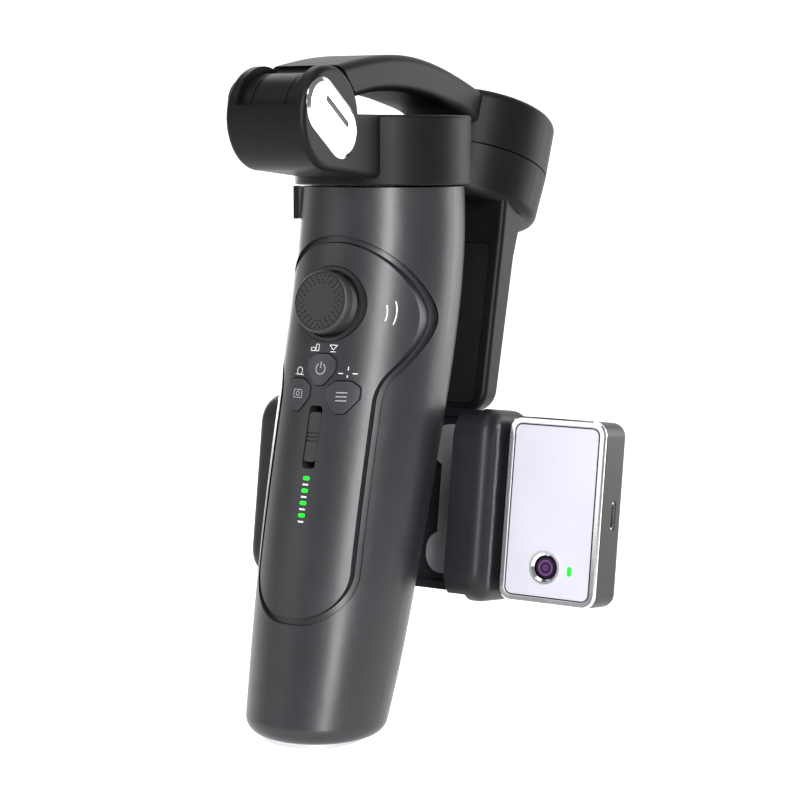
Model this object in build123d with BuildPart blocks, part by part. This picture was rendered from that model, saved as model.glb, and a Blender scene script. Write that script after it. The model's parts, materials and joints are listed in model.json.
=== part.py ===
"""Folding three-axis phone gimbal with a clip-on tracking camera, shown folded for the pocket.

Frame: millimetres, +Z up along the pan axis, -Y is the side with the joystick, +X is to the
right of someone who looks at the joystick. The origin is the centre of the base face, where
the tripod thread opens. The whole machine is drawn folded: the arch arm lies back over the
pan head and the phone clamp straddles the back of the grip.
"""

import os
from math import cos, radians, sin, tan

from build123d import *

os.makedirs("parts", exist_ok=True)

# ---------------------------------------------------------------- driving dimensions
# Grip: round sections on a centre line that leans forward at the bottom.
GRIP_H = 140.0
GRIP_LEAN = 15.85
BEND_H, BEND_REACH = 48.0, 8.18
GRIP_BEND_Z = GRIP_H - BEND_H
PAN_Y = GRIP_BEND_Z * tan(radians(GRIP_LEAN)) + BEND_REACH
R_BASE, R_LOW, R_MID, R_BEND, R_TOP = 18.0, 21.0, 22.2, 22.2, 21.4
WALL = 2.0
BASE_ROUND = 4.0

# Control panel on the front of the grip.
PANEL_R = 20.0
PANEL_Z = 106.0
PANEL_HALF = 13.5
PANEL_FOOT = 33.0
PANEL_GAP = 0.2
GROOVE_W, GROOVE_D = 1.9, 1.1
PANEL_T = 2.2

# Joystick, keys, slider and lamps.
STICK_Z = 110.5
CAP_R, CAP_T = 8.1, 3.0
BOOT_R = 9.7
KEY_CLEAR = 0.25
KEY_TRAVEL = 0.6
KEY_Z, POWER_Z = 87.5, 94.2
KEY_X = 6.7
SLOT_W, SLOT_L, SLOT_Z = 3.9, 15.6, 77.4
SLIDER_PLAY = 3.4
RIB_W, RIB_PITCH, RIB_COUNT, RIB_D = 0.45, 0.95, 3, 0.5
LAMP_W, LAMP_H, LAMP_PITCH, LAMP_Z, LAMP_COUNT = 2.0, 1.0, 3.05, 67.2, 4

# Base and tripod thread (1/4-20 UNC, tapping radius).
THREAD_R, THREAD_L = 2.6, 10.0
FOOT_R, FOOT_T = 13.4, 1.2
FOOT_GAP, FLANGE_CLEAR = 0.1, 1.5

# Pan head: collar above the grip, with the fork of the folding hinge.
COLLAR_R, COLLAR_H, COLLAR_GAP = 23.2, 17.8, 0.5
HINGE_Y, HINGE_Z = PAN_Y - 42.4, GRIP_H + 17.2
FORK_R, FORK_HALF = 12.8, 11.5
SLOT_HALF = 8.2
KNUCKLE_R, KNUCKLE_RING_X = 11.0, 4.9
RUN_CLEAR = 0.3
PIN_R = 2.5
BORE_CLEAR = 0.05
BADGE_R, BADGE_SPAN, BADGE_LEAN, BADGE_T = 6.9, 10.6, -35.0, 1.4
BADGE_BEVEL = 1.1
BADGE_SLOT_L, BADGE_SLOT_W, BADGE_SLOT_D, BADGE_SLOT_Y = 12.0, 1.5, 0.6, 1.6
LIP_RISE = 3.2

# Arch arm and roll motor at its far end.
ARCH_HALF = 10.7
ROLL_TILT = 21.0
ROLL_Y, ROLL_Z = PAN_Y + 47.4, GRIP_H + 4.9
MOTOR_R = 21.5
STATOR_H, ROTOR_H, SEAM_GAP = 15.6, 14.2, 0.4
MOTOR_WALL = 1.8
ROTOR_DRAFT = 4.0
HOUSING_ROUND, ROTOR_ROUND, ROTOR_FLOOR = 2.6, 3.0, 6.0
ROLL_SHAFT_R = 3.0
ROLL_BEARING_R, ROLL_BEARING_T, ROLL_BEARING_Z = 6.5, 4.0, 8.0

# Second arm, below the roll motor.
ARM_HALF = 18.5
ARM_TOP_Z, ARM_LOW_Z = GRIP_H - 12.0, GRIP_H - 62.0
ARM_FRONT_TOP, ARM_FRONT_LOW = PAN_Y + 32.2, PAN_Y + 21.4
ARM_T_TOP, ARM_T_LOW = 9.6, 7.6

# Tilt motor at the foot of the second arm.
TILT_Y, TILT_Z = PAN_Y + 33.5, GRIP_H - 80.0
TILT_R, TILT_HALF = 12.5, 11.0
TILT_END_T, TILT_SHAFT_R, TILT_BEARING_R = 2.0, 2.5, 4.5
EAR_GAP, EAR_T, EAR_R = 0.4, 3.0, 8.0

# Phone clamp, which leans less than the arm. Its plane starts at the jaws' front edges.
CLAMP_TILT = 8.0
CLAMP_Y, CLAMP_Z = PAN_Y - 9.6, GRIP_H - 81.0
CLAMP_H = 50.0
JAW_OUT, JAW_IN, JAW_DEPTH, JAW_ROUND = 36.0, 25.6, 20.0, 8.0
LIP_T = 3.0
PLATE_FRONT, PLATE_T = 21.2, 5.0
PAD_T = 1.6
ROD_R, ROD_Z = 1.5, 14.0
ROD_SOCKET, ROD_REACH = 7.0, 16.0
PLATE_LEFT, FIELD_EDGE, FIELD_D = 24.0, 2.2, 0.8
CHANNEL_D, OUTER_ROUND = 5.0, 3.4
SPRING_R, SPRING_L = 1.5, 34.0
LOBE_X, LOBE_Z, LOBE_H, PLATE_PAD_T = 8.2, 14.4, 11.4, 1.4

# Tracking camera module, clipped to the outside of the right jaw.
MOD_W, MOD_H, MOD_D, MOD_ROUND = 27.4, 47.6, 14.0, 3.6
MOD_X0 = JAW_OUT + 1.4
MOD_FRONT = 8.2
LENS_X, LENS_Z = 11.4, 8.0
LENS_RING_R, LENS_R = 4.3, 3.1
BEZEL_W, BEZEL_T, FACE_T, MOD_WALL = 1.45, 1.4, 1.1, 1.6
MOD_LAMP_W, MOD_LAMP_H = 1.2, 2.5


def centre_y(z):
    """Grip centre line: a straight lean, eased to upright under the pan head."""
    lean = tan(radians(GRIP_LEAN))
    if z <= GRIP_BEND_Z:
        return z * lean
    ease = (z - GRIP_BEND_Z) / (GRIP_H - GRIP_BEND_Z)
    start = GRIP_BEND_Z * lean
    slope = lean * (GRIP_H - GRIP_BEND_Z)
    rise = PAN_Y - start
    return start + slope * ease + (3 * rise - 2 * slope) * ease**2 + (slope - 2 * rise) * ease**3


SECTIONS = [
    (FOOT_T, R_BASE),
    (0.33 * GRIP_H, R_LOW),
    (GRIP_BEND_Z, R_MID),
    (GRIP_BEND_Z + 0.5 * (GRIP_H - GRIP_BEND_Z), R_BEND),
    (GRIP_H, R_TOP),
]


def grip_radius(z):
    """Radius of the grip at a height, for placing what sits on its skin."""
    for (z0, r0), (z1, r1) in zip(SECTIONS, SECTIONS[1:]):
        if z <= z1:
            return r0 + (r1 - r0) * (z - z0) / (z1 - z0)
    return R_TOP


def skin_y(z, x=0.0):
    """Y of the grip's front skin at a height and a sideways place."""
    return centre_y(z) - (grip_radius(z) ** 2 - x**2) ** 0.5


def skin_lean(z):
    """Lean of the front skin at a height, in degrees from upright."""
    step = 4.0
    rise = skin_y(z + step) - skin_y(z - step)
    return Vector(0, rise, 2 * step).get_angle(Vector(0, 0, 1)) * (1 if rise > 0 else -1)


def grip_body(grow):
    """The grip as one closed solid, grown or shrunk by a wall."""
    with BuildPart(mode=Mode.PRIVATE) as body:
        for z, r in SECTIONS:
            with BuildSketch(Plane.XY.offset(z)) as ring:
                with Locations((0, centre_y(z))):
                    Circle(r + grow)
        loft()
    return body.part


def save(piece, name):
    """Label a finished piece and write its STEP file."""
    piece.label = name
    export_step(piece, f"parts/{name}.step")


def tilted(y, z, lean, x=0.0):
    """Plane at a point whose normal is +Z leaned back by lean degrees, with X kept."""
    return Plane((x, y, z), x_dir=(1, 0, 0), z_dir=(0, sin(radians(lean)), cos(radians(lean))))


def facing_front(y, z, lean=0.0, x=0.0):
    """Plane on the front skin: X stays, local Y runs up, and the normal points out to -Y."""
    return Plane((x, y, z), x_dir=(1, 0, 0),
                 z_dir=(0, -cos(radians(lean)), sin(radians(lean))))


with BuildPart(mode=Mode.PRIVATE) as grip_outer:
    add(grip_body(0))
    fillet(grip_outer.edges().sort_by(Axis.Z)[0], BASE_ROUND)
GRIP_OUTER = grip_outer.part

with BuildPart(mode=Mode.PRIVATE) as grip_inner:
    add(grip_body(-WALL))
    split(bisect_by=Plane.XY.offset(FOOT_T + WALL), keep=Keep.TOP)
    with BuildSketch(Plane.XY) as foot_hole:
        Circle(FOOT_R + FOOT_GAP)
    extrude(amount=FOOT_T + WALL + 1.0)
GRIP_INNER = grip_inner.part
GRIP_UNDER_PANEL = grip_body(-PANEL_T)
GRIP_GROOVE = grip_body(-GROOVE_D)
GRIP_PROUD = grip_body(0.25)

# ---------------------------------------------------------------- grip shells
with BuildPart(mode=Mode.PRIVATE) as front_zone:
    with BuildSketch(Plane.YZ) as side:
        with BuildLine():
            seam_points = [(centre_y(z), z) for z, _ in SECTIONS]
            Spline(seam_points)
            Polyline(seam_points[-1], (centre_y(GRIP_H), GRIP_H + 5), (-60, GRIP_H + 5),
                     (-60, -5), (0, -5), seam_points[0])
        make_face()
    extrude(amount=60, both=True)
FRONT_ZONE = front_zone.part


# Everything on the front is drawn as seen from the front and cut or raised along -Y.
FRONT_REACH = 110.0
FRONT_PLANE = Plane.XZ.offset(-PAN_Y - 12.0)


def panel_outline(grow):
    """Keyhole outline of the control panel, swept through the front half of the grip."""
    with BuildPart(mode=Mode.PRIVATE) as zone:
        with BuildSketch(FRONT_PLANE) as face:
            with Locations((0, PANEL_Z)):
                Circle(PANEL_R + grow)
            low = PANEL_FOOT - grow
            with Locations((0, (low + PANEL_Z) / 2)):
                Rectangle(2 * (PANEL_HALF + grow), PANEL_Z - low)
            corners = face.vertices().group_by(Axis.Y)
            fillet(corners[0], 11.0 + grow)
            waist = face.vertices().filter_by(lambda v: low + 20 < v.Y < PANEL_Z)
            fillet(waist, 14.0 - grow)
        extrude(amount=FRONT_REACH)
    return zone.part & FRONT_ZONE


PANEL_ZONE = panel_outline(0)
PANEL_HOLE = panel_outline(PANEL_GAP)
GROOVE_ZONE = panel_outline(GROOVE_W)

LATCH_TURN = -62.0
LATCH_W, LATCH_T, LATCH_L, LATCH_GAP = 7.5, 1.4, 8.5, 0.8
PORT_Z, PORT_W, PORT_H = 22.0, 9.4, 3.6
SIDE_KEY_Z, SIDE_KEY_W, SIDE_KEY_L, SIDE_KEY_T = 105.5, 3.6, 8.4, 2.0
SIDE_KEY_BACK, SIDE_KEY_PROUD = 0.8, 0.8

with BuildPart() as front_shell:
    add(GRIP_OUTER)
    add(GRIP_INNER, mode=Mode.SUBTRACT)
    add(FRONT_ZONE, mode=Mode.INTERSECT)
    add(GROOVE_ZONE - GRIP_GROOVE, mode=Mode.SUBTRACT)
    add(PANEL_HOLE, mode=Mode.SUBTRACT)
    with BuildSketch(Plane.YZ.offset(-30)) as side_key_hole:
        with Locations((centre_y(SIDE_KEY_Z) - SIDE_KEY_BACK, SIDE_KEY_Z)):
            SlotOverall(SIDE_KEY_L + 2 * KEY_CLEAR, SIDE_KEY_W + 2 * KEY_CLEAR, rotation=90)
    extrude(amount=20, mode=Mode.SUBTRACT)
save(front_shell.part, "front_shell")

with BuildPart() as rear_shell:
    add(GRIP_OUTER)
    add(GRIP_INNER, mode=Mode.SUBTRACT)
    add(FRONT_ZONE, mode=Mode.SUBTRACT)
    with BuildSketch(Plane.XZ) as port_hole:
        with Locations((0, PORT_Z)):
            SlotOverall(PORT_W, PORT_H)
    extrude(amount=-60, mode=Mode.SUBTRACT)
    with BuildSketch(Plane.YZ.offset(-30)) as side_key_gap:
        with Locations((centre_y(SIDE_KEY_Z) - SIDE_KEY_BACK, SIDE_KEY_Z)):
            SlotOverall(SIDE_KEY_L + 2 * KEY_CLEAR, SIDE_KEY_W + 2 * KEY_CLEAR, rotation=90)
    extrude(amount=20, mode=Mode.SUBTRACT)
save(rear_shell.part, "rear_shell")

# The panel follows the grip's skin, a little proud, with holes for everything that shows in it.
PANEL_SOLID = (GRIP_PROUD - GRIP_UNDER_PANEL) & PANEL_ZONE
stick_face = facing_front(skin_y(STICK_Z), STICK_Z, skin_lean(STICK_Z))


def key_outline(x, z, width, height, clear):
    """Rounded three-sided key, pointing down, as a sketch on the XZ plane."""
    with BuildSketch(FRONT_PLANE, mode=Mode.PRIVATE) as key:
        with BuildLine():
            half = width / 2 + clear
            top = height / 2 + clear
            Polyline((x - half, z + 0.62 * top), (x - 0.45 * half, z + top), (x + 0.45 * half, z + top),
                     (x + half, z + 0.62 * top), (x + half, z - 0.1 * top), (x + 0.3 * half, z - top),
                     (x - 0.3 * half, z - top), (x - half, z - 0.1 * top), close=True)
        make_face()
        fillet(key.vertices(), 1.6)
    return key.sketch


KEYS = {
    "power_button": (0.0, POWER_Z, 8.2, 7.8),
    "photo_button": (-KEY_X, KEY_Z, 8.4, 8.0),
    "mode_button": (KEY_X, KEY_Z, 8.4, 8.0),
}

with BuildPart() as control_panel:
    add(PANEL_SOLID)
    for x, z, width, height in KEYS.values():
        extrude(key_outline(x, z, width, height, KEY_CLEAR), amount=FRONT_REACH, mode=Mode.SUBTRACT)
    with BuildSketch(FRONT_PLANE) as slider_slot:
        with Locations((0, SLOT_Z)):
            RectangleRounded(SLOT_W, SLOT_L, 1.0)
    extrude(amount=FRONT_REACH, mode=Mode.SUBTRACT)
    with BuildSketch(FRONT_PLANE) as lamp_holes:
        with Locations(*[(0, LAMP_Z - i * LAMP_PITCH) for i in range(LAMP_COUNT)]):
            SlotOverall(LAMP_W, LAMP_H)
    extrude(amount=FRONT_REACH, mode=Mode.SUBTRACT)
    with BuildSketch(stick_face) as boot_hole:
        Circle(BOOT_R + PANEL_GAP)
    extrude(amount=2 * PANEL_T + 2, both=True, mode=Mode.SUBTRACT)
save(control_panel.part, "control_panel")

# ---------------------------------------------------------------- keys, slider and lamps
KEY_BED = grip_body(-PANEL_T - 1.4)
KEY_FACE = grip_body(0.7)
for name, (x, z, width, height) in KEYS.items():
    with BuildPart() as key:
        extrude(key_outline(x, z, width, height, 0), amount=FRONT_REACH)
        add(KEY_FACE, mode=Mode.INTERSECT)
        add(KEY_BED, mode=Mode.SUBTRACT)
        add(FRONT_ZONE, mode=Mode.INTERSECT)
    save(key.part, name)

SLIDER_FACE = grip_body(-0.05)
SLIDER_RIB_BED = grip_body(-0.05 - RIB_D)
SLIDER_L = SLOT_L - SLIDER_PLAY
with BuildPart(mode=Mode.PRIVATE) as slider_ribs:
    with BuildSketch(FRONT_PLANE) as rib_rows:
        with Locations((0, SLOT_Z)):
            with GridLocations(SLOT_W, RIB_PITCH, 1, RIB_COUNT):
                Rectangle(SLOT_W, RIB_W)
    extrude(amount=FRONT_REACH)
    add(SLIDER_RIB_BED, mode=Mode.SUBTRACT)
with BuildPart() as zoom_slider:
    with BuildSketch(FRONT_PLANE) as slider_face:
        with Locations((0, SLOT_Z)):
            RectangleRounded(SLOT_W - 2 * KEY_CLEAR, SLIDER_L, 0.8)
    extrude(amount=FRONT_REACH)
    add(SLIDER_FACE, mode=Mode.INTERSECT)
    add(KEY_BED, mode=Mode.SUBTRACT)
    add(FRONT_ZONE, mode=Mode.INTERSECT)
    add(slider_ribs.part, mode=Mode.SUBTRACT)
save(zoom_slider.part, "zoom_slider")

with BuildPart() as status_lamps:
    with BuildSketch(FRONT_PLANE) as lamp_faces:
        with Locations(*[(0, LAMP_Z - i * LAMP_PITCH) for i in range(LAMP_COUNT)]):
            SlotOverall(LAMP_W - 0.1, LAMP_H - 0.1)
    extrude(amount=FRONT_REACH)
    add(GRIP_PROUD, mode=Mode.INTERSECT)
    add(GRIP_UNDER_PANEL, mode=Mode.SUBTRACT)
    add(FRONT_ZONE, mode=Mode.INTERSECT)
save(status_lamps.part, "status_lamps")

with BuildPart() as side_key:
    with BuildSketch(Plane.YZ.offset(-grip_radius(SIDE_KEY_Z) - SIDE_KEY_PROUD)) as side_key_face:
        with Locations((centre_y(SIDE_KEY_Z) - SIDE_KEY_BACK, SIDE_KEY_Z)):
            SlotOverall(SIDE_KEY_L, SIDE_KEY_W, rotation=90)
    extrude(amount=SIDE_KEY_T)
    fillet(side_key.faces().sort_by(Axis.X)[0].edges(), 0.5)
save(side_key.part, "side_button")

# ---------------------------------------------------------------- joystick
PIVOT_DEPTH = 7.0
CAP_LIFT = 2.0
DIMPLE_RINGS, DIMPLE_COUNT, DIMPLE_R0, DIMPLE_STEP, DIMPLE_R, DIMPLE_D = 3, 22, 4.9, 0.85, 0.27, 0.3
CROSS_PIN_R = 0.8
STEM_R, STEM_BALL_R = 1.5, 2.6
YOKE_T, YOKE_W, YOKE_H = 4.4, 11.0, 8.6
YOKE_PIN_R, YOKE_PIN_L = 1.0, 1.4
FRAME_W, FRAME_H, FRAME_T = 16.0, 14.0, 1.2
PIVOT = stick_face.offset(-PIVOT_DEPTH).origin
cross_plane = Plane(PIVOT, x_dir=(1, 0, 0), z_dir=stick_face.y_dir)

with BuildPart() as joystick_bezel:
    with BuildSketch(stick_face.offset(0.3)) as bezel_rim:
        Circle(BOOT_R)
        Circle(BOOT_R - 1.0, mode=Mode.SUBTRACT)
    extrude(amount=-3.8)
    with BuildSketch(stick_face.offset(-2.6)) as bezel_floor:
        Circle(BOOT_R)
        Circle(5.0, mode=Mode.SUBTRACT)
    extrude(amount=-0.9)
save(joystick_bezel.part, "joystick_bezel")

with BuildPart() as joystick_boot:
    with BuildSketch(stick_face.offset(-2.6)) as boot_base:
        Circle(BOOT_R - 1.6)
    with BuildSketch(stick_face.offset(0.5)) as boot_neck:
        Circle(4.8)
    loft()
    with BuildSketch(stick_face.offset(-3)) as boot_bore:
        Circle(3.2)
    extrude(amount=6, mode=Mode.SUBTRACT)
save(joystick_boot.part, "joystick_boot")

with BuildPart() as joystick_cap:
    with BuildSketch(stick_face.offset(CAP_LIFT)) as cap_disc:
        Circle(CAP_R)
    extrude(amount=CAP_T)
    fillet(joystick_cap.faces().sort_by(Axis.Y)[0].edges(), 1.0)
    fillet(joystick_cap.faces().sort_by(Axis.Y)[-1].edges(), 0.6)
    with BuildSketch(stick_face.offset(CAP_LIFT + CAP_T)) as cap_texture:
        Circle(CAP_R - 0.75)
        Circle(CAP_R - 1.0, mode=Mode.SUBTRACT)
        for ring in range(DIMPLE_RINGS):
            with PolarLocations(DIMPLE_R0 + ring * DIMPLE_STEP, DIMPLE_COUNT + 4 * ring, start_angle=6 * ring):
                Circle(DIMPLE_R)
    extrude(amount=-DIMPLE_D, mode=Mode.SUBTRACT)
    with BuildSketch(stick_face.offset(CAP_LIFT)) as cap_socket:
        Circle(STEM_R)
    extrude(amount=1.6, mode=Mode.SUBTRACT)
save(joystick_cap.part, "joystick_cap")

with BuildPart() as joystick_stem:
    with BuildSketch(stick_face.offset(CAP_LIFT + 1.6)) as stem_end:
        Circle(STEM_R)
    extrude(amount=-CAP_LIFT - 1.6 - PIVOT_DEPTH)
    with Locations(stick_face.offset(-PIVOT_DEPTH)):
        Sphere(STEM_BALL_R)
    with BuildSketch(cross_plane) as cross_pin:
        Circle(CROSS_PIN_R)
    extrude(amount=YOKE_H / 2, both=True)
save(joystick_stem.part, "joystick_stem")

with BuildPart() as joystick_yoke:
    with BuildSketch(stick_face.offset(-PIVOT_DEPTH + YOKE_T / 2)) as yoke_ring:
        Rectangle(YOKE_W, YOKE_H)
        Circle(STEM_BALL_R + RUN_CLEAR, mode=Mode.SUBTRACT)
    extrude(amount=-YOKE_T)
    for side in (-1, 1):
        with BuildSketch(Plane.YZ.offset(side * (YOKE_W / 2 - 0.5))) as yoke_pin:
            with Locations((PIVOT.Y, PIVOT.Z)):
                Circle(YOKE_PIN_R)
        extrude(amount=side * (YOKE_PIN_L + 0.5))
    with BuildSketch(cross_plane) as cross_bore:
        Circle(CROSS_PIN_R + BORE_CLEAR)
    extrude(amount=YOKE_H, both=True, mode=Mode.SUBTRACT)
save(joystick_yoke.part, "joystick_yoke")

with BuildPart() as joystick_frame:
    with BuildSketch(stick_face.offset(-PIVOT_DEPTH + YOKE_T / 2)) as frame_ring:
        Rectangle(FRAME_W, FRAME_H)
        Rectangle(FRAME_W - 4.0, FRAME_H - 2.6, mode=Mode.SUBTRACT)
    extrude(amount=-YOKE_T - 2.4)
    with BuildSketch(Plane.YZ.offset(-FRAME_W)) as frame_bores:
        with Locations((PIVOT.Y, PIVOT.Z)):
            Circle(YOKE_PIN_R + BORE_CLEAR)
    extrude(amount=2 * FRAME_W, mode=Mode.SUBTRACT)
    with BuildSketch(stick_face.offset(-PIVOT_DEPTH - YOKE_T / 2 - 2.4)) as frame_floor:
        Rectangle(FRAME_W, FRAME_H)
    extrude(amount=-FRAME_T)
save(joystick_frame.part, "joystick_frame")

# ---------------------------------------------------------------- base and power
SCREW_R, SCREW_HEAD_R, SCREW_HEAD_T = 0.9, 1.7, 1.2
FOOT_SCREWS, FOOT_SCREW_R = 3, 9.6
foot_top = FOOT_T + WALL
with BuildPart() as base_foot:
    with BuildSketch(Plane.XY) as foot_disc:
        Circle(FOOT_R)
    extrude(amount=foot_top)
    with BuildSketch(Plane.XY.offset(foot_top)) as foot_flange:
        Circle(R_BASE - WALL - FLANGE_CLEAR)
    extrude(amount=1.2)
    with BuildSketch(Plane.XY.offset(foot_top)) as foot_boss:
        Circle(THREAD_R + 3.4)
    extrude(amount=THREAD_L - foot_top)
    with BuildSketch(Plane.XY) as foot_screw_heads:
        with PolarLocations(FOOT_SCREW_R, FOOT_SCREWS):
            Circle(SCREW_HEAD_R + 0.1)
    extrude(amount=SCREW_HEAD_T + 0.2, mode=Mode.SUBTRACT)
    with BuildSketch(Plane.XY) as foot_screw_bores:
        with PolarLocations(FOOT_SCREW_R, FOOT_SCREWS):
            Circle(SCREW_R)
    extrude(amount=THREAD_L, mode=Mode.SUBTRACT)
    with BuildSketch(Plane.XY) as thread_bore:
        Circle(THREAD_R)
    extrude(amount=THREAD_L, mode=Mode.SUBTRACT)
    fillet(base_foot.faces().sort_by(Axis.Z)[0].outer_wire().edges(), 0.4)
save(base_foot.part, "base_foot")

with BuildPart() as foot_screws:
    with BuildSketch(Plane.XY.offset(0.2)) as foot_heads:
        with PolarLocations(FOOT_SCREW_R, FOOT_SCREWS):
            Circle(SCREW_HEAD_R)
    extrude(amount=SCREW_HEAD_T)
    with BuildSketch(Plane.XY.offset(0.8)) as foot_slots:
        with PolarLocations(FOOT_SCREW_R, FOOT_SCREWS):
            RegularPolygon(0.8, 6)
    extrude(amount=-0.8, mode=Mode.SUBTRACT)
    with BuildSketch(Plane.XY.offset(0.2 + SCREW_HEAD_T)) as foot_shanks:
        with PolarLocations(FOOT_SCREW_R, FOOT_SCREWS):
            Circle(SCREW_R)
    extrude(amount=4.6)
save(foot_screws.part, "foot_screws")

CELL_R, CELL_L = 9.2, 65.0
CELL_Z0 = 14.0
CELL_BACK = 2.6
cell_base = tilted(centre_y(CELL_Z0) + CELL_BACK, CELL_Z0, GRIP_LEAN)
with BuildPart() as battery_cell:
    with BuildSketch(cell_base) as cell_round:
        Circle(CELL_R)
    extrude(amount=CELL_L)
    chamfer(battery_cell.edges(), 0.6)
    with BuildSketch(cell_base.offset(CELL_L)) as cell_button:
        Circle(3.0)
    extrude(amount=1.2)
save(battery_cell.part, "battery_cell")

with BuildPart() as battery_cradle:
    with BuildSketch(cell_base.offset(3.0)) as cradle_ring:
        Circle(CELL_R + 1.6)
        Circle(CELL_R + 0.1, mode=Mode.SUBTRACT)
        with Locations((0, CELL_R)):
            Rectangle(3 * CELL_R, 1.2 * CELL_R, mode=Mode.SUBTRACT)
    extrude(amount=CELL_L - 8.0)
save(battery_cradle.part, "battery_cradle")

BOARD_W, BOARD_L, BOARD_T = 18.0, 76.0, 1.2
BOARD_DEPTH = 6.8
board_face = facing_front(skin_y(60.0) + BOARD_DEPTH, 60.0, GRIP_LEAN)
with BuildPart() as control_board:
    with BuildSketch(board_face) as board_outline:
        RectangleRounded(BOARD_W, BOARD_L, 1.5)
    extrude(amount=-BOARD_T)
    with BuildSketch(board_face) as switches:
        with Locations((0, POWER_Z - 60.0), (-KEY_X, KEY_Z - 60.0), (KEY_X, KEY_Z - 60.0)):
            Rectangle(4.2, 4.2)
        with Locations((0, SLOT_Z - 60.0)):
            Rectangle(3.4, 7.0)
    extrude(amount=1.0)
save(control_board.part, "control_board")

with BuildPart() as usb_port:
    with BuildSketch(Plane.XZ.offset(-centre_y(PORT_Z) - grip_radius(PORT_Z) + 0.4)) as port_shell:
        with Locations((0, PORT_Z)):
            SlotOverall(PORT_W - 0.4, PORT_H - 0.4)
            SlotOverall(PORT_W - 1.6, PORT_H - 1.6, mode=Mode.SUBTRACT)
    extrude(amount=5.0)
    with BuildSketch(Plane.XZ.offset(-centre_y(PORT_Z) - grip_radius(PORT_Z) + 5.4)) as port_back:
        with Locations((0, PORT_Z)):
            SlotOverall(PORT_W - 0.4, PORT_H - 0.4)
    extrude(amount=0.8)
save(usb_port.part, "usb_port")

# ---------------------------------------------------------------- pan motor in the top of the grip
PAN_STATOR_R, PAN_STATOR_H = 14.5, 9.0
PAN_SHAFT_R = 3.0
PAN_BEARING_R, PAN_BEARING_T = 6.5, 3.5
SHELF_T = 2.4
pan_plane = Plane((0, PAN_Y, GRIP_H), z_dir=(0, 0, 1))
with BuildPart() as top_plate:
    with BuildSketch(pan_plane) as plate_disc:
        Circle(R_TOP - WALL - 0.15)
        Circle(PAN_BEARING_R, mode=Mode.SUBTRACT)
    extrude(amount=-SHELF_T)
    with BuildSketch(pan_plane.offset(-SHELF_T)) as plate_hub:
        Circle(PAN_BEARING_R + 1.6)
        Circle(PAN_BEARING_R, mode=Mode.SUBTRACT)
    extrude(amount=-PAN_BEARING_T + SHELF_T)
save(top_plate.part, "top_plate")

with BuildPart() as pan_bearing:
    with BuildSketch(pan_plane) as pan_race:
        Circle(PAN_BEARING_R)
        Circle(PAN_SHAFT_R + BORE_CLEAR, mode=Mode.SUBTRACT)
    extrude(amount=-PAN_BEARING_T)
save(pan_bearing.part, "pan_bearing")

with BuildPart() as pan_stator:
    with BuildSketch(pan_plane.offset(-PAN_BEARING_T - 0.6)) as stator_ring:
        Circle(PAN_STATOR_R)
        Circle(PAN_STATOR_R - 3.0, mode=Mode.SUBTRACT)
    extrude(amount=-PAN_STATOR_H)
    with BuildSketch(pan_plane.offset(-PAN_BEARING_T - 0.6)) as stator_teeth:
        with PolarLocations(PAN_STATOR_R - 4.2, 12):
            Rectangle(3.6, 2.2)
    extrude(amount=-PAN_STATOR_H)
save(pan_stator.part, "pan_stator")

with BuildPart() as pan_rotor:
    with BuildSketch(pan_plane.offset(COLLAR_GAP + 2.0)) as pan_shaft:
        Circle(PAN_SHAFT_R)
    extrude(amount=-COLLAR_GAP - 2.0 - PAN_BEARING_T - 0.6 - PAN_STATOR_H)
    with BuildSketch(pan_plane.offset(-PAN_BEARING_T - 0.6)) as pan_magnets:
        Circle(PAN_STATOR_R - 6.4)
    extrude(amount=-PAN_STATOR_H)
save(pan_rotor.part, "pan_rotor")

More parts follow.
